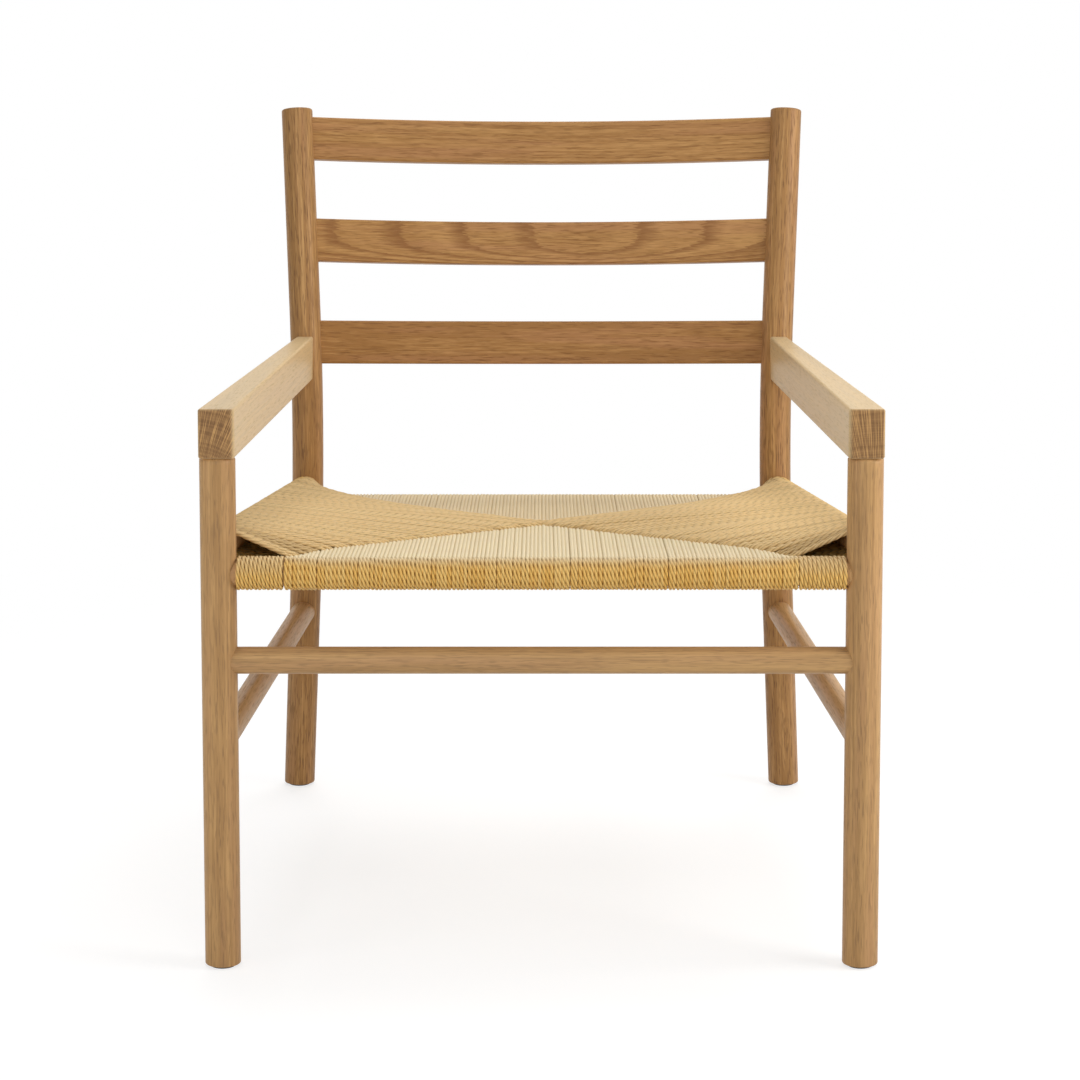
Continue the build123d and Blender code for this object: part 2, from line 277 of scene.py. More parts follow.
class Finish:
    """The node tree of a material or of the world. One method, node, adds every kind of node."""

    def __init__(self, owner):
        owner.use_nodes = True
        self.owner = owner
        self.tree = owner.node_tree
        self.tree.nodes.clear()

    def node(self, kind, options=(), inputs=(), output=0):
        """Add a node, set its options, then give its sockets values or links. Returns one output."""
        made = self.tree.nodes.new(kind)
        for key, value in dict(options).items():
            setattr(made, key, value)
        for key, value in dict(inputs).items():
            if isinstance(value, Signal):
                self.tree.links.new(value.socket, made.inputs[key])
            else:
                made.inputs[key].default_value = value
        if not made.outputs:
            return None
        return Signal(self, made.outputs[output])

    def math(self, operation, first, second=0.0):
        """A Math node."""
        return self.node("ShaderNodeMath", {"operation": operation}, {0: first, 1: second})

    def spot(self):
        """The place on the piece, in Object coordinates."""
        return self.node("ShaderNodeTexCoord", output="Object")

    def attribute(self, name, output="Fac"):
        """A value stored on the piece's own points."""
        return self.node("ShaderNodeAttribute", {"attribute_name": name}, output=output)

    def scaled(self, vector, *scale):
        """A vector times three numbers."""
        return self.node("ShaderNodeVectorMath", {"operation": "MULTIPLY"}, {0: vector, 1: scale})

    def joined(self, *parts):
        """A vector from its parts."""
        return self.node("ShaderNodeCombineXYZ", {}, dict(enumerate(parts)))

    def split(self, vector):
        """A vector's three parts."""
        first = self.node("ShaderNodeSeparateXYZ", {}, {0: vector})
        return [Signal(self, socket) for socket in first.socket.node.outputs]

    def noise(self, vector, detail=2.0, roughness=0.5):
        """Smooth noise from 0 to 1, one lump to a unit."""
        inputs = {"Vector": vector, "Scale": 1.0, "Detail": detail, "Roughness": roughness}
        return self.node("ShaderNodeTexNoise", {}, inputs)

    def ease(self, value, low, high):
        """A smooth step from 0 at low to 1 at high."""
        inputs = {"Value": value, "From Min": low, "From Max": high}
        return self.node("ShaderNodeMapRange", {"interpolation_type": "SMOOTHSTEP"}, inputs)

    def blend(self, amount, first, second):
        """One colour turning into another."""
        inputs = {0: amount, 6: opaque(first), 7: opaque(second)}
        return self.node("ShaderNodeMix", {"data_type": "RGBA"}, inputs, output=2)

    def bump(self, height, distance, strength):
        """A normal raised by height, which goes from 0 to 1."""
        inputs = {"Height": height, "Distance": distance, "Strength": strength}
        return self.node("ShaderNodeBump", {}, inputs)

    def glow(self, kind, strength):
        """A white light of some kind."""
        return self.node(kind, {}, {"Color": opaque(WHITE), "Strength": strength})

    def white_to_the_eye(self, shown, real):
        """Mix two shaders: one that the camera, gloss and glass see, and one that lights the chair."""
        seen = self.node("ShaderNodeLightPath", output="Is Camera Ray")
        rays = seen.socket.node.outputs
        for name in ("Is Glossy Ray", "Is Transmission Ray"):
            seen = self.math("MAXIMUM", seen, Signal(self, rays[name]))
        return self.node("ShaderNodeMixShader", {}, {0: seen, 1: real, 2: shown})

    def close(self, **inputs):
        """End in one Principled shader."""
        named = {key.replace("_", " "): value for key, value in inputs.items()}
        surface = self.node("ShaderNodeBsdfPrincipled", {}, named)
        self.node("ShaderNodeOutputMaterial", {}, {"Surface": surface})


def opaque(value):
    """A colour with its fourth part, or a link left as it is."""
    return value if isinstance(value, Signal) else (*value, 1.0)


def oak(finish, layer, contrast=1.0, light=0.0, bands=0.0, shift=0.0, dash=14.0, from_object=False):
    """Oiled oak cut from a solid: uneven growth layers round a pith, streaks, open pores and pale rays.

    The stored grain vector is the place across the log, in metres from its pith, and along it. A layer's
    place is the distance from the pith, plus a slow drift and the stored arch. Layers are noise of that
    place, and streaks and pores are noise drawn out along the log. Bands are dark early wood: sharp where
    a layer starts, then fading. The stored end is 1 on end grain, which is darker and crossed by rays.
    """
    colours = settings("finishes")
    grain = finish.spot() if from_object else finish.attribute("grain", "Vector")
    across, up, along = finish.split(grain)

    def lumps(wide, long, detail=2.0, roughness=0.5):
        """Noise from -0.5 to 0.5, with so many lumps a metre across the log and along it."""
        return finish.noise(finish.scaled(grain, wide, wide, long), detail, roughness) - 0.5

    drift = lumps(9.0, 1.7) * 0.016
    waver = lumps(75.0, 13.0) * 0.0026
    radius = (across * across + up * up) ** 0.5 + drift + waver + finish.attribute("arch")
    turn = finish.math("ARCTAN2", across, up)

    def fan(turns, rings, lengths, low, high):
        """Rays from the pith: noise that is finest in the turn about it, cut off between low and high."""
        where = finish.joined(turn * turns, radius * rings, along * lengths)
        return finish.ease(finish.noise(where, 1.0), low, high)

    growth = finish.ease(finish.noise(finish.joined(radius / layer, along * 0.9), 2.0, 0.6), 0.34, 0.66)
    streak = lumps(460.0, dash, 3.0, 0.65)
    patches = lumps(30.0, 2.4)
    blush = finish.ease(lumps(62.0, 3.1), -0.05, 0.20)
    pores = finish.ease(lumps(800.0, 58.0, 1.0), 0.02, 0.18) * (1 - growth * 0.5)
    rays = fan(260.0, 30.0, 34.0, 0.62, 0.74)
    spokes = fan(130.0, 25.0, 0.0, 0.47, 0.62)
    start = finish.math("FRACT", radius / layer + streak * 0.5)
    band = (1 - finish.ease(start, 0.04, 0.45)) * finish.ease(start, 0.0, 0.04)
    figure = (growth - 0.5) * 0.6 + streak * 2.4
    tone = 0.5 + shift + figure * contrast + patches
    wood = finish.blend(tone, colours.oak_deep, colours.oak_pale)
    end_wood = finish.blend(growth * 0.25 + spokes * 0.72, colours.oak_end, colours.oak_pale)
    coats = (
        (blush * 0.4, colours.oak_blush),
        (band * bands, colours.oak_band),
        (pores * (0.70 * contrast), colours.oak_pore),
        (rays * 0.22, colours.oak_pale),
        (light, colours.oak_light),
        (finish.attribute("end") * 0.9, end_wood),
    )
    for amount, coat in coats:
        wood = finish.blend(amount, wood, coat)
    finish.close(
        Base_Color=wood,
        Roughness=0.38 + pores * 0.2 + streak * 0.15,
        Specular_IOR_Level=0.12,
        Normal=finish.bump(0.7 - pores * 0.7 + streak * 0.25, 0.00022, 0.5),
    )


def paper_cord(finish):
    """Twisted paper cord: golden plies with fine creases, painted shade in the grooves, and painted sheen
    where pale is 1.

    The stored cord vector is the distance along the strand, the turn round it and the strand's own number.
    A sunken strand, whose own number is near 1, gets painted shade, and so does half-pale cord.
    """
    colours = settings("finishes")
    cord = finish.attribute("cord", "Vector")
    pale = finish.attribute("pale")
    _, _, own = finish.split(cord)
    crease = finish.noise(finish.scaled(cord, 140.0, 26.0, 97.0), 3.0, 0.6)
    patch = finish.noise(finish.scaled(cord, 9.0, 0.0, 57.0))
    tone = 0.5 + (crease - 0.5) * 0.8 + (patch - 0.5) * 0.8 + (own - 0.5) * 0.8
    paper = finish.blend(tone, colours.cord_gold, colours.cord_pale)
    paper = finish.blend(pale, paper, colours.cord_painted_sheen)
    golden = 1 - pale
    # Painted shade in the plies' grooves, strongest on golden cord
    groove = finish.ease(finish.attribute("groove"), 0.4, 1.0) * (golden * golden * 0.42 + 0.28)
    # More painted shade on half-pale cord and on sunken strands
    shade = groove + pale * golden * 0.7 + finish.ease(own, 0.75, 1.0) * 0.22
    finish.close(
        Base_Color=finish.blend(shade, paper, colours.cord_painted_shade),
        Roughness=0.5 + (crease - 0.5) * 0.2,
        Specular_IOR_Level=0.15,
        Normal=finish.bump(crease, 0.00025, 0.5),
    )


def beech(finish):
    """Plain beech for the loose tenons inside the arms: short dark flecks on a pinkish ground."""
    colours = settings("finishes")
    spot = finish.spot()
    fleck = finish.ease(finish.noise(finish.scaled(spot, 900.0, 120.0, 900.0), 1.0), 0.55, 0.7)
    broad = finish.noise(finish.scaled(spot, 90.0, 9.0, 90.0))
    ground = finish.blend(broad, colours.beech, colours.oak_pale)
    wood = finish.blend(fleck * 0.5, ground, colours.oak_deep)
    finish.close(Base_Color=wood, Roughness=0.55 + fleck * 0.1)


def black_nylon(finish):
    """Moulded nylon for the foot glides, with a fine spark-eroded grain and scuffed patches."""
    colours = settings("finishes")
    spot = finish.spot()
    grain = finish.noise(finish.scaled(spot, 2600.0, 2600.0, 2600.0))
    scuff = finish.ease(finish.noise(finish.scaled(spot, 180.0, 180.0, 180.0), 3.0), 0.5, 0.75)
    finish.close(
        Base_Color=finish.blend(scuff * 0.35, colours.nylon, colours.scuff),
        Roughness=0.48 + scuff * 0.2,
        Normal=finish.bump(grain, 0.0001, 0.4),
    )


def finish_named(name, maker, *details, **options):
    """A material that its maker finishes once, and that is then shared."""
    made = bpy.data.materials.get(name)
    if made is None:
        made = bpy.data.materials.new(name)
        maker(Finish(made), *details, **options)
    return made


def skin(name, rings, tube=None, **stored):
    """A closed mesh from rings of points.

    Ring k joins ring k + 1 of the same tube by a band of quads, and a flat polygon closes each end of a
    tube. Rings run anticlockwise about the way that the tube goes, so faces point outwards. Every stored
    array gives one number or vector a point.
    """
    total, around = rings.shape[:2]
    tube = np.zeros(total, int) if tube is None else tube
    index = np.arange(total * around).reshape(total, around)
    changes = tube[1:] != tube[:-1]
    near = index[:-1][~changes]
    far = index[1:][~changes]
    quads = np.stack([near, np.roll(near, -1, 1), np.roll(far, -1, 1), far], -1).reshape(-1, 4)
    first = index[np.append(True, changes)][:, ::-1]
    last = index[np.append(changes, True)]
    corners = np.concatenate([quads.ravel(), first.ravel(), last.ravel()]).astype(np.int32)
    sides = np.append(np.full(len(quads), 4), np.full(len(first) + len(last), around))
    mesh = bpy.data.meshes.new(name)
    mesh.vertices.add(total * around)
    mesh.vertices.foreach_set("co", rings.astype(np.float32).ravel())
    mesh.loops.add(len(corners))
    mesh.loops.foreach_set("vertex_index", corners)
    mesh.polygons.add(len(sides))
    mesh.polygons.foreach_set("loop_start", (np.cumsum(sides) - sides).astype(np.int32))
    mesh.polygons.foreach_set("use_smooth", sides == 4)
    for key, values in stored.items():
        flat = values.ndim == 2
        layer = mesh.attributes.new(key, "FLOAT" if flat else "FLOAT_VECTOR", "POINT")
        layer.data.foreach_set("value" if flat else "vector", values.astype(np.float32).ravel())
    mesh.update(calc_edges=True)
    if mesh.validate():
        raise RuntimeError(f"{name} has faces that are not valid")
    return mesh


def place(name, mesh, finish, slot, *nodes):
    """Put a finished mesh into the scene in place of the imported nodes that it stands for."""
    piece = bpy.data.objects.new(name, mesh)
    bpy.context.scene.collection.objects.link(piece)
    mesh.materials.append(finish)
    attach(piece, "root")
    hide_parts(*nodes)


def oak_piece(node, rings, finish, **stored):
    """Skin rings in oak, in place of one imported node."""
    name = "oak_" + node
    place(name, skin(name, rings, **stored), finish, "oiled_oak", node)


def unit(vectors):
    """Vectors of length one."""
    return vectors / np.linalg.norm(vectors, axis=-1, keepdims=True)


def on_circle(turn):
    """Points of a circle of radius one: the cosine and sine of turns."""
    return np.stack([np.cos(turn), np.sin(turn)], -1)


def smooth_step(values):
    """Values clipped to 0 and 1, and eased at both: three times the square less twice the cube."""
    values = np.clip(values, 0, 1)
    return values**2 * (3 - 2 * values)


def sweep(points, along, across, section):
    """Rings of a section carried along a path.

    A ring's point is the path's point, plus the section's first part times the across vector, plus its
    second part times the cross product of the along and across vectors.
    """
    across = np.broadcast_to(across, points.shape)
    up = np.cross(along, across)
    return points[:, None] + section[..., :1] * across[:, None] + section[..., 1:] * up[:, None]


def circle(radius, points):
    """Round sections, one for each radius: the radius times the cosine and sine of even turns."""
    turn = np.linspace(0, WHOLE_TURN, points, endpoint=False)
    return np.asarray(radius)[:, None, None] * on_circle(turn)


def rounded_box(low_a, high_a, low_b, high_b, radius, steps=6, flat=0.0015):
    """Rectangular sections with round corners: each corner is a quarter circle about its own centre.

    A point stands a short flat way before and after each corner, so that the broad faces shade flat.
    """
    corner_a = np.stack([high_a, low_a, low_a, high_a], -1)
    corner_b = np.stack([high_b, high_b, low_b, low_b], -1)
    radius = np.asarray(radius)[:, None]
    centre_a = (corner_a + np.array([-1, 1, 1, -1]) * radius)[..., None]
    centre_b = (corner_b + np.array([-1, -1, 1, 1]) * radius)[..., None]
    quarter = WHOLE_TURN / 4
    bend = np.concatenate([[0], np.linspace(0, quarter, steps), [quarter]])
    turn = np.arange(4)[:, None] * quarter + bend
    ahead = np.concatenate([[-flat], np.zeros(steps), [flat]])
    a = centre_a + radius[..., None] * np.cos(turn) - ahead * np.sin(turn)
    b = centre_b + radius[..., None] * np.sin(turn) + ahead * np.cos(turn)
    return np.stack([a, b], -1).reshape(len(radius), -1, 2)


def with_rows(section, rows=10):
    """Rectangular sections with more points, evenly spaced, on the sides across their first part."""
    half = section.shape[1] // 2
    parts = np.linspace(0, 1, rows + 2)[1:-1, None]

    def between(before, after):
        """Points from one of the section's points to another."""
        return section[:, before, None] * (1 - parts) + section[:, after, None] * parts

    runs = [section[:, :half], between(half - 1, half), section[:, half:], between(-1, 0)]
    return np.concatenate(runs, 1)


def rounding(radius, steps=6):
    """A quarter round at an end: distances from the end, and how far in from its side it lies there."""
    turn = np.linspace(0, WHOLE_TURN / 4, steps)
    return radius * (1 - np.cos(turn)), radius * (1 - np.sin(turn))


def pulled_in(radius, distance):
    """How far a quarter round lies in from its side, a distance from the end that it rounds."""
    left = np.clip(radius - distance, 0, radius)
    return radius - np.sqrt(radius**2 - left**2)


def grain_of(section, along, pith):
    """The grain vector of a swept piece: its section's place from the pith, and its length on the log."""
    length = np.broadcast_to(along[:, None], section.shape[:2])
    return np.concatenate([section, length[..., None]], -1) + np.asarray(pith)


def end_grain(distance, fade, section):
    """The end value of a swept piece: 1 at the end that distances are from, 0 past the fade."""
    near = np.clip(1 - distance / fade, 0, 1)
    return np.broadcast_to(near[:, None], section.shape[:2])


def at_leg(side, height):
    """A point on a front leg's axis."""
    centre = (LEG_LOW + LEG_HIGH) / 2
    return np.array([side * centre[0], centre[1], height])


def post_offset(height):
    """How far a rear post's axis lies behind its waist: a circle's arc, with a straight run at each end."""
    sizes = settings("frame")
    rise = height - sizes.waist_height
    low = -sizes.bend_radius * math.sin(sizes.rear_rake)
    high = sizes.bend_radius * math.sin(sizes.back_recline)
    bent = np.clip(rise, low, high)
    arc = sizes.bend_radius - np.sqrt(sizes.bend_radius**2 - bent**2)
    slope = np.where(rise < low, -math.tan(sizes.rear_rake), math.tan(sizes.back_recline))
    return arc + (rise - bent) * slope


def post_way(side):
    """The level direction in which a rear post leans."""
    splay = settings("frame").post_splay
    return np.array([side * math.sin(splay), math.cos(splay), 0.0])


def at_post(side, height):
    """Points on a rear post's axis. The post is as thick as a front leg."""
    height = np.asarray(height, float)
    waist = np.array([side * (POST_LOW[0] + LEG_RADIUS), POST_LOW[1] + LEG_RADIUS, 0.0])
    return waist + post_offset(height)[..., None] * post_way(side) + height[..., None] * UPRIGHT


def along_post(side, height, step=0.0005):
    """The upward direction of a rear post's axis, from points a step below and above."""
    return unit(at_post(side, height + step) - at_post(side, height - step))


def arm_slope():
    """How steeply the arms fall towards the back."""
    fall = ARM_HIGH[2] - ARM_LOW[2] - settings("frame").arm_height
    return fall / (ARM_HIGH[1] - ARM_LOW[1])


class ARMCHAIR_OT_front_legs(bpy.types.Operator):
    """Turn the two round front legs"""

    bl_idname = "armchair.front_legs"
    bl_label = "Front legs"

    def execute(self, context):
        sizes = settings("frame")
        finish = finish_named("oak_round", oak, 0.0045, light=0.12, shift=-0.1)
        piths = {"left": (0.052, 0.061, 1.3), "right": (-0.066, 0.047, 4.1)}
        shoulder = ARM_HIGH[2] - sizes.arm_height
        support = 0.006
        away, inset = rounding(sizes.foot_round)
        heights = np.concatenate([
            LEG_LOW[2] + away,
            np.linspace(LEG_LOW[2] + support, shoulder - support, LEG_RINGS),
            [shoulder - sizes.shoulder_chamfer, shoulder],
        ])
        radii = np.full(len(heights), LEG_RADIUS)
        radii[: len(inset)] -= inset
        radii[-1] -= sizes.shoulder_chamfer
        section = circle(radii, ROUND_POINTS)
        for name, side in SIDES.items():
            points = at_leg(side, 0.0) + heights[:, None] * UPRIGHT
            rings = sweep(points, UPRIGHT, SIDEWAYS, section)
            # The shoulder follows the arm's slope
            rings[-2:, :, 2] -= arm_slope() * (rings[-2:, :, 1] - ARM_LOW[1])
            grain = grain_of(section, heights, piths[name])
            oak_piece(f"front_leg_{name}", rings, finish, grain=grain)
        return {"FINISHED"}


class ARMCHAIR_OT_rear_posts(bpy.types.Operator):
    """Bend the two round rear posts, cut level at the foot and square at the top"""

    bl_idname = "armchair.rear_posts"
    bl_label = "Rear posts"

    def execute(self, context):
        sizes = settings("frame")
        # Painted shade: the posts' oak is shifted darker, since they get less light than the legs
        finish = finish_named("oak_post", oak, 0.0045, 1.6, 0.05, shift=-0.5)
        piths = {"left": (0.071, -0.035, 7.7), "right": (0.058, 0.049, 2.6)}
        foot = POST_LOW[2]
        top = POST_HIGH[2] - LEG_RADIUS * math.sin(sizes.back_recline)
        away, inset = rounding(sizes.post_top_round)
        low_bend = sizes.waist_height - sizes.bend_radius * math.sin(sizes.rear_rake)
        clear_foot = foot + LEG_RADIUS * math.tan(sizes.rear_rake) + 3 * sizes.foot_round
        heights = np.concatenate([
            np.linspace(clear_foot, low_bend, RAKED_RINGS, endpoint=False),
            np.linspace(low_bend, top - 2 * sizes.post_top_round, BENT_RINGS),
            (top - away * math.cos(sizes.back_recline))[::-1],
        ])
        radii = np.full(len(heights), LEG_RADIUS)
        radii[-len(inset) :] -= inset[::-1]
        section = circle(radii, ROUND_POINTS)
        foot_away, foot_inset = rounding(sizes.foot_round)
        cut = foot + np.append(foot_away, sizes.foot_round * 2)
        pull = np.append(foot_inset, 0.0) / LEG_RADIUS
        sections = np.concatenate([np.repeat(section[:1], len(cut), 0), section])
        for name, side in SIDES.items():
            points = at_post(side, heights)
            along = along_post(side, heights)
            rings = sweep(points, along, unit(np.cross(post_way(side), UPRIGHT)), section)
            # The lowest rings follow the post's straight lines down to the level cut
            fall = (rings[0, :, 2] - cut[:, None]) / along[0, 2]
            low_rings = rings[0] - fall[..., None] * along[0]
            centre = points[0] - ((points[0, 2] - cut) / along[0, 2])[:, None] * along[0]
            low_rings += (centre[:, None] - low_rings) * pull[:, None, None]
            steps = np.linalg.norm(np.diff(points, axis=0), axis=1)
            length = np.concatenate([-fall.mean(1), [0.0], np.cumsum(steps)])
            oak_piece(
                f"rear_post_{name}",
                np.concatenate([low_rings, rings]),
                finish,
                grain=grain_of(sections, length, piths[name]),
                end=end_grain(length[-1] - length, sizes.post_top_round, sections),
            )
        return {"FINISHED"}


class ARMCHAIR_OT_arms(bpy.types.Operator):
    """Shape the two tapered arms, rounded at the front and eased under the rear end"""

    bl_idname = "armchair.arms"
    bl_label = "Arms"

    def execute(self, context):
        sizes = settings("frame")
        # A large share of light oak: paler wood, which also paints the sheen of the arms' tops and inner
        # faces
        finish = finish_named("oak_arm", oak, 0.0040, light=0.56)
        piths = {"left": (-0.030, 0.095, 3.4), "right": (0.012, 0.130, 9.2)}
        front = ARM_LOW[1]
        post = at_post(1, (ARM_HIGH[2] + ARM_LOW[2]) / 2)
        rear_half = sizes.arm_rear_width / 2
        touch = post[1] - math.sqrt(LEG_RADIUS**2 - rear_half**2)
        away, _ = rounding(sizes.arm_inner_round, steps=9)
        easing, _ = rounding(sizes.arm_rear_ease, steps=8)
        depth = np.concatenate([
            front + away,
            np.linspace(front + 2 * sizes.arm_inner_round, touch - 2 * sizes.arm_rear_ease, ARM_RINGS),
            (touch - easing)[::-1],
            [post[1]],
        ])
        from_front = depth - front
        taper = from_front / (post[1] - front)
        inner_front = ARM_HIGH[0] - 2 * LEG_RADIUS
        inner = inner_front + (post[0] - rear_half - inner_front) * taper
        outer = ARM_HIGH[0] + (post[0] + rear_half - ARM_HIGH[0]) * taper
        top = ARM_HIGH[2] - arm_slope() * from_front
        bottom = top - sizes.arm_height
        middle = np.stack([(inner + outer) / 2, (top + bottom) / 2], -1)
        inner = inner + pulled_in(sizes.arm_inner_round, from_front)
        outer = outer - pulled_in(sizes.arm_outer_round, from_front)
        top = top - pulled_in(sizes.arm_edge_round, from_front)
        bottom = bottom + pulled_in(sizes.arm_edge_round, from_front)
        bottom = bottom + pulled_in(sizes.arm_rear_ease, np.clip(touch - depth, 0, None))
        sharpest = 0.0005
        radius = np.minimum(sizes.arm_edge_round, sharpest + from_front)
        for name, side in SIDES.items():
            # Sections are measured towards -X
            spans = (inner, outer) if side < 0 else (-outer, -inner)
            section = rounded_box(*spans, bottom, top, radius)
            from_middle = section - (middle * [-side, 1.0])[:, None]
            oak_piece(
                f"arm_{name}",
                sweep(depth[:, None] * BACKWARDS, BACKWARDS, -SIDEWAYS, section),
                finish,
                grain=grain_of(from_middle, depth, piths[name]),
                end=end_grain(from_front, sizes.arm_edge_round, section),
            )
        return {"FINISHED"}


class ARMCHAIR_OT_slats(bpy.types.Operator):
    """Bow the three back slats between the posts"""

    bl_idname = "armchair.slats"
    bl_label = "Back slats"

    def execute(self, context):
        sizes = settings("frame")
        # Each log: the pith's place behind, below and along, how far and about where the layers arch, and
        # how sharply they hook round below
        logs = {
            "top": (0.05, -0.16, 2.0, 0.0004, 0.03, 0.0),
            "middle": (0.5915, -0.026, 5.5, 0.0255, 0.052, 0.234),
            "bottom": (0.04, -0.20, 8.5, 0.0005, -0.10, 0.0),
        }
        arch_reach = 0.025
        hook_power = 6
        finishes = {
            "top": finish_named("oak_slat", oak, 0.0048, 0.9, shift=-0.1, dash=30.0),
            "middle": finish_named("oak_arched", oak, 0.078, 0.9, bands=0.75, shift=-0.1, dash=30.0),
            # Painted shade: the bottom slat's oak is shifted darker, since it gets less light than the
            # slats above
            "bottom": finish_named("oak_shaded_slat", oak, 0.0044, 1.1, shift=-0.6, dash=30.0),
        }
        for index, (name, (behind, below, start, arch, middle, hook)) in enumerate(logs.items()):
            height = sizes.slat_top_height - index * sizes.slat_pitch
            post = at_post(1, height)
            post_along = along_post(1, height)
            lean = math.asin(math.hypot(post_along[0], post_along[1]))
            up = unit(np.array([0.0, math.sin(lean) * math.cos(sizes.post_splay), math.cos(lean)]))
            back = np.cross(up, SIDEWAYS)
            # The slat is an arc through both posts, and ends half a radius short of their axes
            radius = (post[0] ** 2 + sizes.slat_bow**2) / (2 * sizes.slat_bow)
            half = math.asin((post[0] - LEG_RADIUS * 0.5) / radius)
            turn = np.linspace(-half, half, SLAT_RINGS)[:, None]
            bow = sizes.slat_bow - radius * (1 - np.cos(turn))
            points = np.array([0.0, post[1], height]) + radius * np.sin(turn) * SIDEWAYS + bow * back
            along = np.cos(turn) * SIDEWAYS - np.sin(turn) * back
            ones = np.ones(len(turn))
            thick = ones * sizes.slat_thickness / 2
            tall = ones * sizes.slat_height / 2
            section = with_rows(rounded_box(-thick, thick, -tall, tall, ones * sizes.slat_edge_round))
            length = turn[:, 0] * radius
            bend = np.hypot(1.0, (length - middle) / arch_reach) - 1
            depth = 0.5 - section[..., 1] / sizes.slat_height
            oak_piece(
                f"slat_{name}",
                sweep(points, along, np.cross(up, along), section),
                finishes[name],
                grain=grain_of(section, length, (behind, below, start)),
                arch=(arch * bend)[:, None] + hook * depth**hook_power,
            )
        return {"FINISHED"}


class ARMCHAIR_OT_stretchers(bpy.types.Operator):
    """Turn the four stretchers between the legs"""

    bl_idname = "armchair.stretchers"
    bl_label = "Stretchers"

    def execute(self, context):
        finish = finish_named("oak_bar", oak, 0.0040, 0.9, 0.15)
        front = FRONT_STRETCHER_LEVEL
        rear = REAR_STRETCHER_LEVEL
        side = SIDE_STRETCHER_LEVEL
        ends = {
            "front": (at_leg(-1, front), at_leg(1, front), (0.043, 0.062, 0.7)),
            "rear": (at_post(-1, rear), at_post(1, rear), (-0.055, 0.044, 3.9)),
            "left": (at_leg(-1, side), at_post(-1, side), (0.064, -0.038, 6.1)),
            "right": (at_leg(1, side), at_post(1, side), (0.049, 0.071, 9.6)),
        }
        aside = np.array([0.3, 0.5, 0.8])
        section = circle(np.full(BAR_RINGS, STRETCHER_RADIUS), BAR_POINTS)
        for name, (start, end, pith) in ends.items():
            along = np.linspace(0, np.linalg.norm(end - start), BAR_RINGS)
            way = unit(end - start)
            across = unit(np.cross(way, aside))
            rings = sweep(start + along[:, None] * way, way, across, section)
            oak_piece(f"stretcher_{name}", rings, finish, grain=grain_of(section, along, pith))
        return {"FINISHED"}


def lay_cord(name, panel, points, along, across, distance, phase, own, pale, strand=None):
    """Lay three-ply cord along paths: each ply has a crest between two shoulders, and a groove before it.

    The section turns against the clock as it goes: its turn is the strand's phase less a full turn for
    each lay of the distance along it. Stored for the finish are the distance along, the turn round and
    the strand's own number as one vector, how deep in a groove a point is, which the finish darkens as
    painted shade, and how pale, which is a painted sheen.
    """
    sizes = settings("seat")
    plies = 3
    part = WHOLE_TURN / plies
    shares = np.tile([sizes.groove, sizes.shoulder, 1.0, sizes.shoulder], plies)
    ply = np.array([0.0, sizes.groove_turn, part / 2, part - sizes.groove_turn])
    start = (np.arange(plies)[:, None] * part + ply).ravel()
    turn = start + (phase - WHOLE_TURN * distance / sizes.cord_lay)[:, None]
    section = sizes.cord_radius * shares[:, None] * on_circle(turn)
    around = np.arange(len(shares)) / len(shares)
    mesh = skin(
        name,
        sweep(points, along, across, section),
        strand,
        cord=np.stack(np.broadcast_arrays(distance[:, None], around, own[:, None]), -1),
        groove=np.broadcast_to((1 - shares) / (1 - sizes.groove), turn.shape),
        pale=np.broadcast_to(pale[:, None], turn.shape),
    )
    place(name, mesh, finish_named("twisted_cord", paper_cord), "paper_cord", panel)


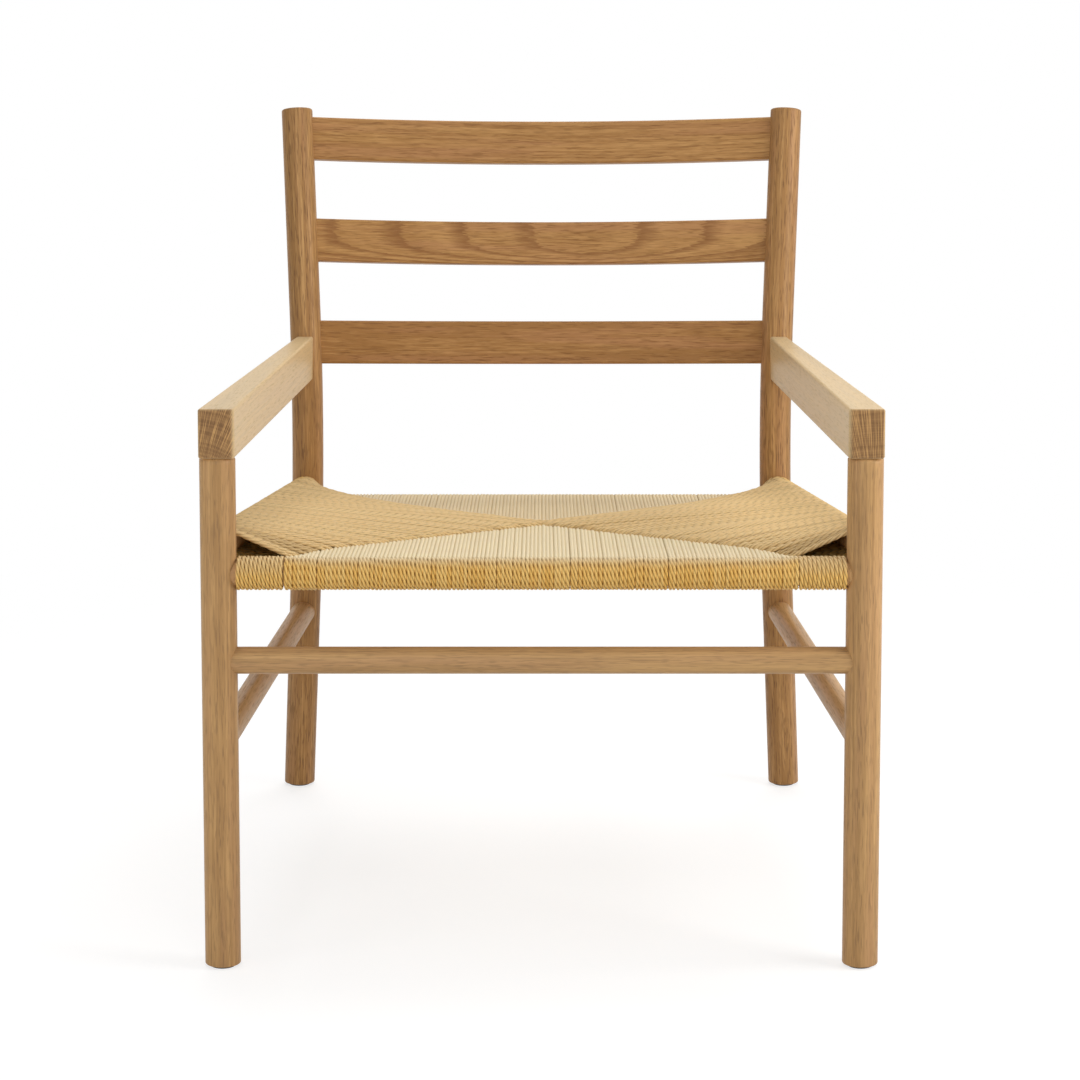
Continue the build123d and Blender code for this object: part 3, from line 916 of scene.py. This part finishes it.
def weave(panel, half, bed, rail, inward, top_end, low_end, painted_sheen, own, phase):
    """Lay strands that run from the weave's diagonal to a rail, round it and back below.

    Each strand lies in an upright plane through its rail point. In that plane it is a straight line to
    the upper tangent of the bed, a circle round the rail, the circle's outer arc, and a straight line
    from the lower tangent. Past each end it dips into the seat by a smooth step. Ends are given as
    (inward, upward) distances. The painted sheen is how pale the upper run is painted, and it fades round
    the rail. Own numbers and phases are one a strand.
    """
    sizes = settings("seat")

    def tangent(end, way):
        """The turn and place where lines from the ends touch the bed, and the lines' lengths."""
        reach = np.linalg.norm(end, axis=1)
        turn = np.arctan2(end[:, 1], end[:, 0]) + way * np.arccos(bed / reach)
        return turn, bed * on_circle(turn), np.sqrt(reach**2 - bed**2)

    turn_top, touch_top, run_top = tangent(top_end, 1)
    turn_low, touch_low, run_low = tangent(low_end, -1)
    arc = bed * (turn_low + WHOLE_TURN - turn_top)
    whole = run_top + arc + run_low
    seen = sizes.dip_run + run_top + arc
    under = run_low + sizes.dip_run
    steps_seen = np.ceil(seen / sizes.ring_step).astype(int)
    steps_under = np.ceil(under / sizes.under_step).astype(int)
    counts = steps_seen + steps_under + 1
    strand = np.repeat(np.arange(len(counts)), counts)
    ring = np.arange(len(strand)) - (np.cumsum(counts) - counts)[strand]
    past_seen = np.clip(ring - steps_seen[strand], 0, None)
    distance = -sizes.dip_run + (ring - past_seen) * (seen / steps_seen)[strand]
    distance = distance + past_seen * (under / steps_under)[strand]

    def route(s):
        """Places in the strands' planes at distances s from their upper ends."""
        upper = top_end[strand] + (touch_top - top_end)[strand] * (s / run_top[strand])[:, None]
        round_rail = bed * on_circle(turn_top[strand] + (s - run_top[strand]) / bed)
        past = (s - (run_top + arc)[strand]) / run_low[strand]
        lower = touch_low[strand] + (low_end - touch_low)[strand] * past[:, None]
        on_top = (s < run_top[strand])[:, None]
        below = (past > 0)[:, None]
        spot = np.where(on_top, upper, np.where(below, lower, round_rail))
        dip_low = smooth_step((s - whole[strand]) / sizes.dip_run)
        dip_top = smooth_step(-s / sizes.dip_run)
        spot[:, 1] += sizes.dip_depth * (dip_low - dip_top)
        return spot

    step = 0.0004
    spot = route(distance)
    way = route(distance + step) - route(distance - step)
    # Painted sheen: the upper run's pale share fades round the rail
    fade = smooth_step((distance - run_top[strand]) / (bed * sizes.painted_sheen_turn))
    lay_cord(
        f"cord_{panel}_{half}",
        f"seat_weave_{panel}",
        rail[strand] + spot[:, :1] * inward + spot[:, 1:] * UPRIGHT,
        unit(way[:, :1] * inward + way[:, 1:] * UPRIGHT),
        np.cross(inward, UPRIGHT),
        distance,
        phase[strand],
        own[strand],
        painted_sheen * (1 - fade),
        strand,
    )


class SeatPlan:
    """Where the weave's corners, centre and rails are, worked out from the frame."""

    def __init__(self):
        sizes = settings("seat")
        frame_sizes = settings("frame")
        self.front_rail = at_leg(1, FRONT_RAIL_LEVEL)
        self.rear_rail = at_post(1, REAR_RAIL_LEVEL)
        self.side_front = at_leg(1, frame_sizes.side_rail_front)
        self.side_rear = at_post(1, frame_sizes.side_rail_rear)
        self.bed = RAIL_RADIUS + sizes.cord_bed
        self.leg_face = self.front_rail[0] - LEG_RADIUS
        self.front_x = self.leg_face - sizes.corner_wraps * sizes.wrap_pitch
        front_y = self.front_rail[1] + LEG_RADIUS + sizes.clearance
        rear_x = self.rear_rail[0] - LEG_RADIUS - sizes.clearance
        rear_y = self.rear_rail[1] - LEG_RADIUS - sizes.clearance
        # Each end's corner, its rail's height and how far the corner sinks
        self.corners = {
            "front": (self.front_x, front_y, self.front_rail[2], sizes.corner_sink),
            "rear": (rear_x, rear_y, self.rear_rail[2], 0.0),
        }
        self.sink_share = sizes.corner_share
        centre = sizes.centre_share
        run = self.rear_rail[1] - self.front_rail[1]
        self.centre_y = self.front_rail[1] + centre * run
        rail_level = self.front_rail[2] * (1 - centre) + self.rear_rail[2] * centre
        self.centre_top = rail_level + self.bed
        self.centre_low = self.centre_top - sizes.core

    def diagonal(self, end, widths):
        """The strands' crossings along one diagonal: x, y, and the heights of the two layers."""
        parts = (np.cumsum(widths) - widths / 2) / widths.sum()
        start_x, start_y, level, sink = self.corners[end]
        x = start_x * (1 - parts)
        y = start_y + (self.centre_y - start_y) * parts
        top = level + self.bed + (self.centre_top - level - self.bed) * parts
        top = top - sink * np.clip(1 - parts / self.sink_share, 0, 1) ** 2
        low = level - self.bed + (self.centre_low - level + self.bed) * parts
        return x, y, top, low

    def side_rail(self, y):
        """Points on the right side rail's axis at depths y."""
        part = (y - self.side_front[1]) / (self.side_rear[1] - self.side_front[1])
        return self.side_front + (self.side_rear - self.side_front) * part[:, None]


class ARMCHAIR_OT_seat(bpy.types.Operator):
    """Weave the cord seat: four panels that meet along the diagonals, and plain wraps by the legs"""

    bl_idname = "armchair.seat"
    bl_label = "Woven seat"

    def execute(self, context):
        sizes = settings("seat")
        chance = np.random.default_rng(411)
        plan = SeatPlan()
        even = np.ones(sizes.strands)
        half_pitch = sizes.cord_radius
        darkest = 0.75

        def scatter(values):
            """Values with a little hand-made unevenness."""
            return values + chance.normal(0.0, sizes.unevenness, len(values))

        def phases(spread):
            """The twist's turn on each strand, usually a step on from the strand before."""
            return np.cumsum(chance.normal(sizes.phase_step, spread, sizes.strands))

        # Each end's rail, the way inwards, and how much painted sheen its top gets
        ends = {
            "front": (plan.front_rail, BACKWARDS, sizes.front_painted_sheen),
            "rear": (plan.rear_rail, -BACKWARDS, sizes.rear_painted_sheen),
        }
        for end, (rail, inward, painted_sheen) in ends.items():
            x, y, top, low = plan.diagonal(end, even)
            for name, side in SIDES.items():
                rails = scatter(side * x)[:, None] * SIDEWAYS + rail * [0.0, 1.0, 1.0]
                reach = np.abs(y - rail[1]) - half_pitch
                top_end = np.stack([reach, scatter(top - rail[2])], -1)
                low_end = np.stack([reach, scatter(low - rail[2])], -1)
                own = darkest * chance.random(sizes.strands)
                turns = phases(sizes.phase_scatter)
                weave(end, name, plan.bed, rails, inward, top_end, low_end, painted_sheen, own, turns)
        painted_sheen = sizes.side_painted_sheen
        for name, side in SIDES.items():
            inward = -side * SIDEWAYS
            for end in ends:
                sunk = chance.random(sizes.strands) < 1 / sizes.gap_every
                x, y, top, low = plan.diagonal(end, even + sizes.gap_share * sunk)
                rails = plan.side_rail(scatter(y)) * [side, 1.0, 1.0]
                reach = np.abs(rails[:, 0]) - x + half_pitch
                rise = sizes.cross_rise + chance.normal(0.0, sizes.side_rise, len(x))
                rise = rise - sizes.side_sink * sunk
                top_end = np.stack([reach, top + rise - rails[:, 2]], -1)
                low_end = np.stack([reach, low - rise - rails[:, 2]], -1)
                # A sunken strand's own number is 1, which paints shade along it
                own = np.where(sunk, 1.0, darkest * chance.random(sizes.strands))
                turns = phases(sizes.side_scatter)
                weave(name, end, plan.bed, rails, inward, top_end, low_end, painted_sheen, own, turns)
        for name, side in SIDES.items():
            self.plain_wraps(plan, name, side)
        return {"FINISHED"}

    def plain_wraps(self, plan, name, side):
        """Wind cord round the end of the front rail, a pitch sideways for each turn.

        Most of the sidestep is taken at the back: after t turns from the bottom it is, in pitches,
        t - ease * sin(2 pi t - 3 pi / 2) / 2 pi, less 0.75. So the wraps stand upright in front, where t is
        0.75, 1.75 and so on.
        """
        sizes = settings("seat")
        gap = sizes.left_gap if side < 0 else sizes.right_gap
        start = plan.front_x + gap + sizes.cord_radius
        pitch = (plan.leg_face - start - sizes.cord_radius) / (sizes.corner_wraps - 1)
        first, last, front = 0.35, sizes.corner_wraps + 0.1, 0.75
        ease = 0.9
        length = (last - first) * WHOLE_TURN * plan.bed
        distance = np.linspace(0, length, int(length / sizes.ring_step))
        turn = WHOLE_TURN * first + distance / plan.bed
        sidestep = (turn - ease * np.sin(turn - WHOLE_TURN * front)) / WHOLE_TURN - front
        x = side * (start + pitch * sidestep)
        outward = np.stack([np.zeros_like(turn), np.sin(turn), -np.cos(turn)], -1)
        points = x[:, None] * SIDEWAYS + plan.front_rail * [0.0, 1.0, 1.0] + plan.bed * outward
        along = unit(np.gradient(points, axis=0))
        across = unit(outward - (outward * along).sum(1, keepdims=True) * along)
        own = np.full_like(distance, 0.4)
        # Painted sheen on the wraps where they face up
        pale = sizes.wrap_painted_sheen * np.clip(outward[:, 2], 0, 1)
        piece = f"cord_wraps_{name}"
        phase = np.zeros_like(distance)
        lay_cord(piece, "seat_weave_front", points, along, across, distance, phase, own, pale)


class ARMCHAIR_OT_fittings(bpy.types.Operator):
    """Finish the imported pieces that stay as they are: seat rails, loose tenons and foot glides"""

    bl_idname = "armchair.fittings"
    bl_label = "Rails, tenons and glides"

    def execute(self, context):
        kinds = {
            "seat_rail": finish_named("oak_rail", oak, 0.0040, light=0.1, from_object=True),
            "arm_tenon": finish_named("plain_beech", beech),
            "glide": finish_named("moulded_nylon", black_nylon),
        }
        for node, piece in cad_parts.items():
            for start, finish in kinds.items():
                if node.startswith(start):
                    piece.data.materials.clear()
                    piece.data.materials.append(finish)
        return {"FINISHED"}


class ARMCHAIR_OT_studio(bpy.types.Operator):
    """Set up the pale floor, the soft lamps, the surrounding light and the camera"""

    bl_idname = "armchair.studio"
    bl_label = "Studio"

    def execute(self, context):
        scene = context.scene
        scene.view_settings.view_transform = "Standard"
        self.floor(scene)
        self.surround(scene)
        self.lamps(scene)
        self.camera(scene)
        return {"FINISHED"}

    def add(self, scene, name, data):
        """Put an object with this data into the scene."""
        added = bpy.data.objects.new(name, data)
        scene.collection.objects.link(added)
        return added

    def floor(self, scene):
        """A wide level floor that keeps the chair's shadow and is otherwise white to the eye."""
        setup = settings("studio")
        colours = settings("finishes")
        reach = 40.0
        across = np.linspace(-reach, reach, 3)
        x, y = np.meshgrid(across, across)
        points = np.stack([x, y, np.zeros_like(x)], -1).reshape(-1, 3)
        start = (np.arange(2)[:, None] * 3 + np.arange(2)).ravel()
        faces = np.stack([start, start + 1, start + 4, start + 3], -1)
        mesh = bpy.data.meshes.new("studio_floor")
        mesh.from_pydata(points.tolist(), [], faces.tolist())
        finish = Finish(bpy.data.materials.new("studio_floor"))
        soft = finish.node("ShaderNodeBsdfDiffuse", {}, {"Color": opaque(colours.floor)})
        shaded = finish.node("ShaderNodeBsdfDiffuse", {}, {"Color": opaque(colours.shade)})
        lift = finish.glow("ShaderNodeEmission", setup.floor_lift)
        near = finish.node("ShaderNodeAddShader", {}, {0: shaded, 1: lift})
        far = finish.glow("ShaderNodeEmission", 1.0)
        away = finish.node("ShaderNodeVectorMath", {"operation": "LENGTH"}, {0: finish.spot()}, "Value")
        whiteness = finish.ease(away, setup.floor_near, setup.floor_far)
        bright = finish.node("ShaderNodeMixShader", {}, {0: whiteness, 1: near, 2: far})
        surface = finish.white_to_the_eye(bright, soft)
        finish.node("ShaderNodeOutputMaterial", {}, {"Surface": surface})
        mesh.materials.append(finish.owner)
        floor = self.add(scene, "studio_floor", mesh)

    def surround(self, scene):
        """A dome of even light, white where the camera or a reflection sees it."""
        world = bpy.data.worlds.new("studio_dome")
        dome = Finish(world)
        white = dome.glow("ShaderNodeBackground", 1.0)
        light = dome.glow("ShaderNodeBackground", settings("studio").dome)
        dome.node("ShaderNodeOutputWorld", {}, {"Surface": dome.white_to_the_eye(white, light)})
        scene.world = world

    def lamps(self, scene):
        """Four square softboxes aimed at the chair.

        A lamp shines along its -Z axis, so it is tilted about X and then turned about Z to face its aim.
        """
        setup = settings("studio")
        aim = np.array([0.0, 0.0, 0.45])
        # Each lamp: its place, its width and its power
        boxes = {
            "key": ((1.45, -0.6, 1.0), 0.9, setup.key_power),
            "fill": ((-0.25, -2.0, 1.2), 1.6, setup.fill_power),
            "top": ((0.1, 1.0, 2.7), 2.0, setup.top_power),
            "side": ((-1.2, -1.0, 0.5), 0.6, setup.side_power),
        }
        for name, (spot, width, watts) in boxes.items():
            lamp = bpy.data.lights.new(f"lamp_{name}", "AREA")
            lamp.size = width
            lamp.energy = watts
            holder = self.add(scene, f"lamp_{name}", lamp)
            holder.location = spot
            way = unit(aim - spot)
            holder.rotation_euler = math.acos(-way[2]), 0.0, math.atan2(-way[0], way[1])

    def camera(self, scene):
        """The photograph's view: level sides, a long lens and a small upright shift."""
        setup = settings("studio")
        view = bpy.data.cameras.new("camera")
        view.lens = setup.focal
        view.sensor_width = 36.0
        view.shift_x = setup.camera_slide
        view.shift_y = setup.camera_rise
        view.clip_end = 200.0
        holder = self.add(scene, "camera", view)
        holder.location = (0.0, at_leg(1, 0.0)[1] - setup.camera_run, setup.camera_height)
        holder.rotation_euler = (WHOLE_TURN / 4 - setup.camera_pitch, 0.0, 0.0)
        scene.camera = holder


OPERATORS = (
    ARMCHAIR_OT_front_legs,
    ARMCHAIR_OT_rear_posts,
    ARMCHAIR_OT_arms,
    ARMCHAIR_OT_slats,
    ARMCHAIR_OT_stretchers,
    ARMCHAIR_OT_seat,
    ARMCHAIR_OT_fittings,
    ARMCHAIR_OT_studio,
)
GROUPS = {"frame": FrameSizes, "seat": SeatSizes, "finishes": Finishes, "studio": StudioSetup}


class ARMCHAIR_PT_panel(bpy.types.Panel):
    """Lists the armchair's pieces and their settings"""

    bl_idname = "ARMCHAIR_PT_panel"
    bl_label = "Armchair"
    bl_space_type = "VIEW_3D"
    bl_region_type = "UI"
    bl_category = "Armchair"

    def draw(self, context):
        for operator in OPERATORS:
            self.layout.operator(operator.bl_idname)
        for name, group in GROUPS.items():
            box = self.layout.box()
            for key in group.__annotations__:
                box.prop(settings(name), key)


def register():
    for kind in (*GROUPS.values(), *OPERATORS, ARMCHAIR_PT_panel):
        bpy.utils.register_class(kind)
    for name, group in GROUPS.items():
        setattr(bpy.types.Scene, "armchair_" + name, PointerProperty(type=group))


def unregister():
    for name in GROUPS:
        delattr(bpy.types.Scene, "armchair_" + name)
    for kind in (ARMCHAIR_PT_panel, *OPERATORS, *GROUPS.values()):
        bpy.utils.unregister_class(kind)


def main():
    register()
    bpy.ops.armchair.front_legs()
    bpy.ops.armchair.rear_posts()
    bpy.ops.armchair.arms()
    bpy.ops.armchair.slats()
    bpy.ops.armchair.stretchers()
    bpy.ops.armchair.seat()
    bpy.ops.armchair.fittings()
    bpy.ops.armchair.studio()


if __name__ == "__main__":
    main()
